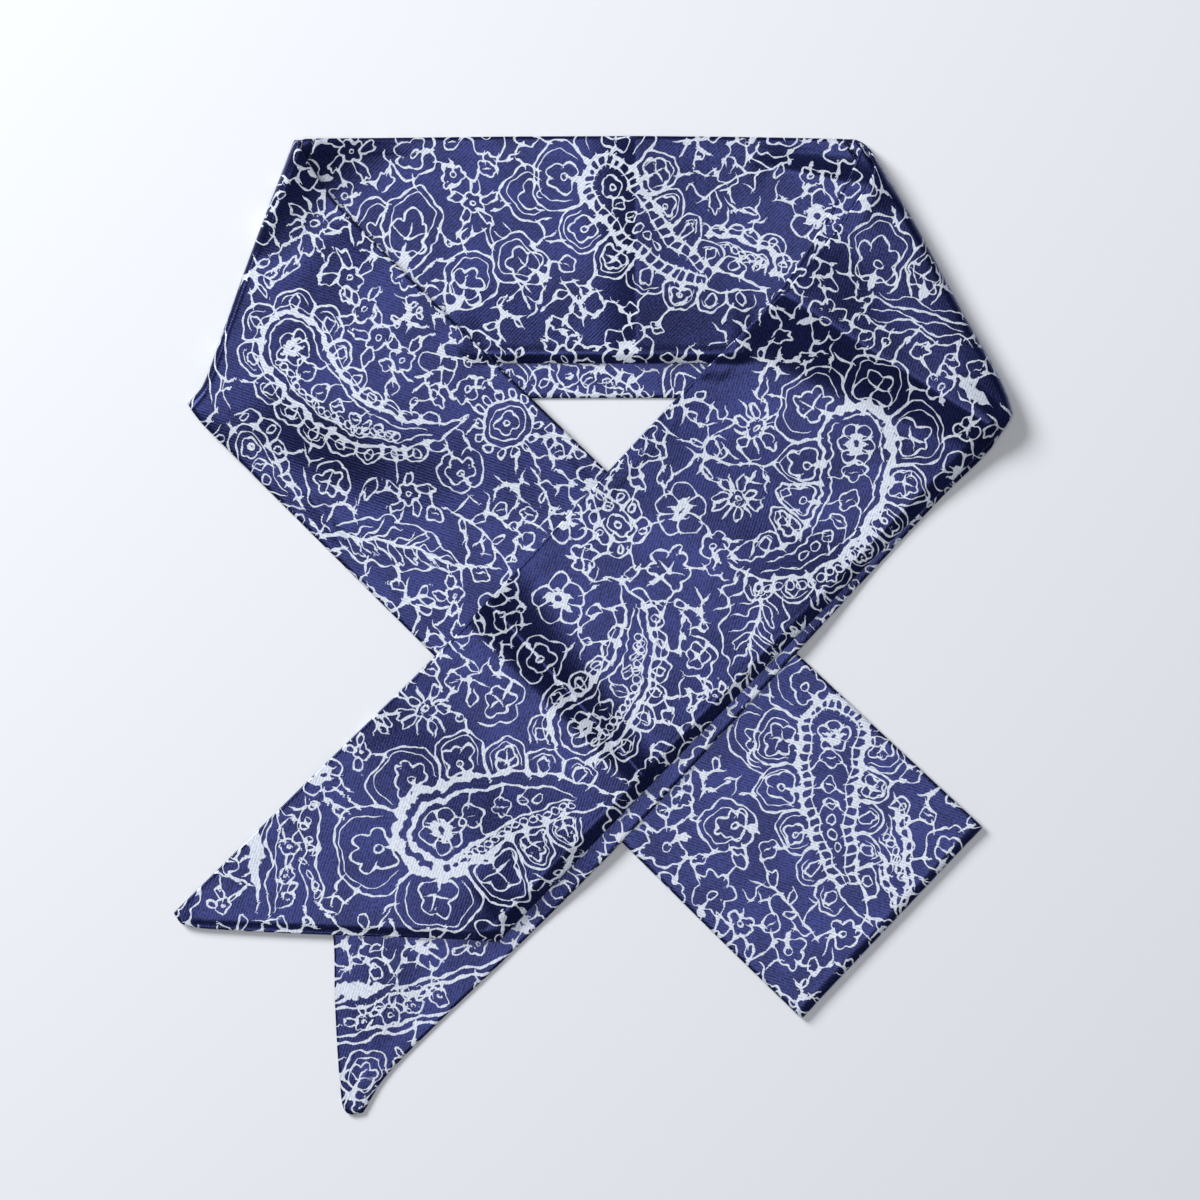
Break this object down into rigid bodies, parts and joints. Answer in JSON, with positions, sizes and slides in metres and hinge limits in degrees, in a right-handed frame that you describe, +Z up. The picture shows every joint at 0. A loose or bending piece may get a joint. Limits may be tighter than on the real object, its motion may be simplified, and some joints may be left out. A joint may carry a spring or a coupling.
{
  "type": "bandana scarf",
  "caption": "Narrow double-ply printed scarf, folded in half and laid flat like a neck wrap, with folded corners, crossed tails and bias-cut ends.",
  "frame": {"origin": "centre of the scarf's footprint, on the surface it lies on", "axes": "+Z up from the surface, +Y from the tails' ends towards the neck band, +X towards the right corner fold"},
  "size_m": [0.255, 0.2972, 0.0088],
  "materials": {
    "printed_satin": "indigo satin twill with an off-white paisley print"
  },
  "bodies": {
    "root": {"band_top": "printed_satin", "band_under": "printed_satin", "tail_left_top": "printed_satin", "tail_left_under": "printed_satin", "tail_right_top": "printed_satin", "tail_right_under": "printed_satin"}
  },
  "joints": []
}
